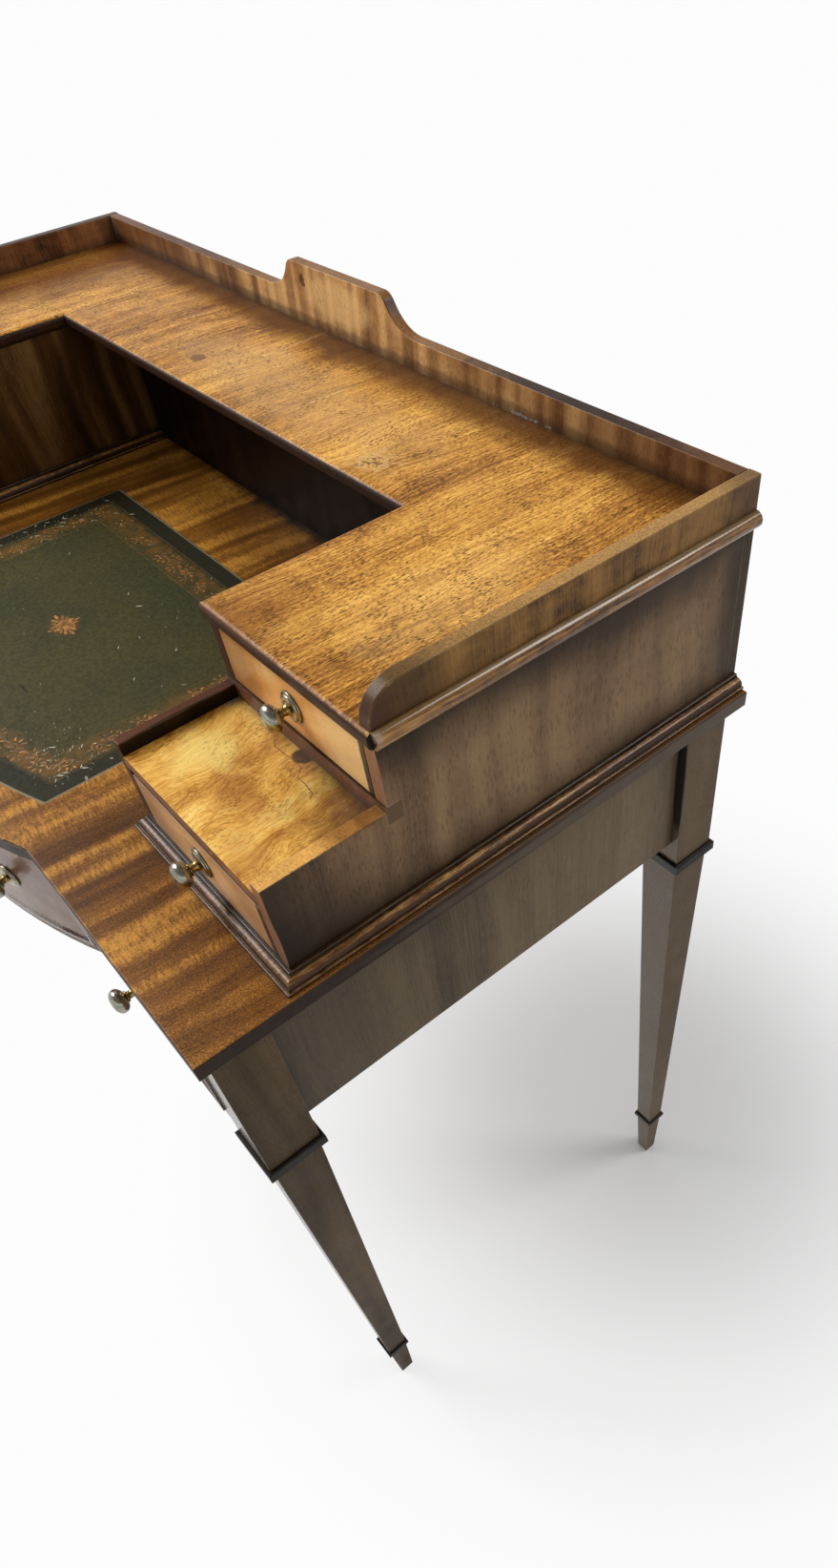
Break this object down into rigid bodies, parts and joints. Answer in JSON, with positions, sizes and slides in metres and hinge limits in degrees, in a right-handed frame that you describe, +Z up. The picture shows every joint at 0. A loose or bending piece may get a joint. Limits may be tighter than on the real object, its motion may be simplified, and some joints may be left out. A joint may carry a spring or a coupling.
{
  "type": "writing desk",
  "caption": "Bow-front mahogany writing desk with tapered legs, a leather writing surface and a stepped U-shaped superstructure of small drawers, trays and a galleried shelf.",
  "frame": {"origin": "on the floor, at the bottom centre of the bounding box", "axes": "+X to the sitter's right along the desk, +Y from the front towards the back, +Z up"},
  "size_m": [0.96, 0.528, 0.9395],
  "materials": {
    "mahogany": "french-polished mahogany veneer, satin to glossy",
    "drawer_mahogany": "lighter, plainly figured mahogany veneer, polished",
    "drawer_lining": "unpolished secondary wood",
    "leather": "worn olive green writing leather with tooled gilt borders",
    "brass": "turned brass, dulled with age"
  },
  "bodies": {
    "desk": {"back_panel": "mahogany", "base_mouldings": "mahogany", "bottom_rail": "mahogany", "drawer_dividers": "mahogany", "drawer_stops": "drawer_lining", "frieze_runners": "drawer_lining", "gallery_back": "mahogany", "gallery_left": "mahogany", "gallery_right": "mahogany", "inner_side_left": "mahogany", "inner_side_right": "mahogany", "leather_skiver": "leather", "leg_collars": "mahogany", "leg_front_left": "mahogany", "leg_front_right": "mahogany", "leg_rear_left": "mahogany", "leg_rear_right": "mahogany", "outer_side_left": "mahogany", "outer_side_right": "mahogany", "pedestal_rails": "mahogany", "pedestal_runners": "drawer_lining", "rear_apron": "mahogany", "shelf_arm_left": "mahogany", "shelf_arm_right": "mahogany", "shelf_back": "mahogany", "shelf_beads": "mahogany", "side_apron_left": "mahogany", "side_apron_right": "mahogany", "top_rail": "mahogany", "tray_board_left": "mahogany", "tray_board_right": "mahogany", "well_panel": "mahogany", "writing_top": "mahogany"},
    "centre_drawer": {"centre_drawer_bottom": "drawer_lining", "centre_drawer_box": "drawer_lining", "centre_drawer_cockbead": "mahogany", "centre_drawer_front": "drawer_mahogany", "centre_drawer_knobs": "brass"},
    "left_drawer": {"left_drawer_bottom": "drawer_lining", "left_drawer_box": "drawer_lining", "left_drawer_cockbead": "mahogany", "left_drawer_front": "drawer_mahogany", "left_drawer_knob": "brass"},
    "lower_left_drawer": {"lower_left_drawer_box": "drawer_lining", "lower_left_drawer_front": "drawer_mahogany", "lower_left_drawer_knob": "brass"},
    "lower_right_drawer": {"lower_right_drawer_box": "drawer_lining", "lower_right_drawer_front": "drawer_mahogany", "lower_right_drawer_knob": "brass"},
    "right_drawer": {"right_drawer_bottom": "drawer_lining", "right_drawer_box": "drawer_lining", "right_drawer_cockbead": "mahogany", "right_drawer_front": "drawer_mahogany", "right_drawer_knob": "brass"},
    "upper_left_drawer": {"upper_left_drawer_box": "drawer_lining", "upper_left_drawer_front": "drawer_mahogany", "upper_left_drawer_knob": "brass"},
    "upper_right_drawer": {"upper_right_drawer_box": "drawer_lining", "upper_right_drawer_front": "drawer_mahogany", "upper_right_drawer_knob": "brass"}
  },
  "joints": [
    {"name": "centre_drawer_slide", "type": "slide", "parent": "desk", "child": "centre_drawer", "axis": [0, -1, 0], "range_m": [0, 0.3]},
    {"name": "left_drawer_slide", "type": "slide", "parent": "desk", "child": "left_drawer", "axis": [0, -1, 0], "range_m": [0, 0.28]},
    {"name": "right_drawer_slide", "type": "slide", "parent": "desk", "child": "right_drawer", "axis": [0, -1, 0], "range_m": [0, 0.28]},
    {"name": "lower_left_drawer_slide", "type": "slide", "parent": "desk", "child": "lower_left_drawer", "axis": [0, -1, 0], "range_m": [0, 0.25]},
    {"name": "lower_right_drawer_slide", "type": "slide", "parent": "desk", "child": "lower_right_drawer", "axis": [0, -1, 0], "range_m": [0, 0.25]},
    {"name": "upper_left_drawer_slide", "type": "slide", "parent": "desk", "child": "upper_left_drawer", "axis": [0, -1, 0], "range_m": [0, 0.2]},
    {"name": "upper_right_drawer_slide", "type": "slide", "parent": "desk", "child": "upper_right_drawer", "axis": [0, -1, 0], "range_m": [0, 0.2]}
  ]
}
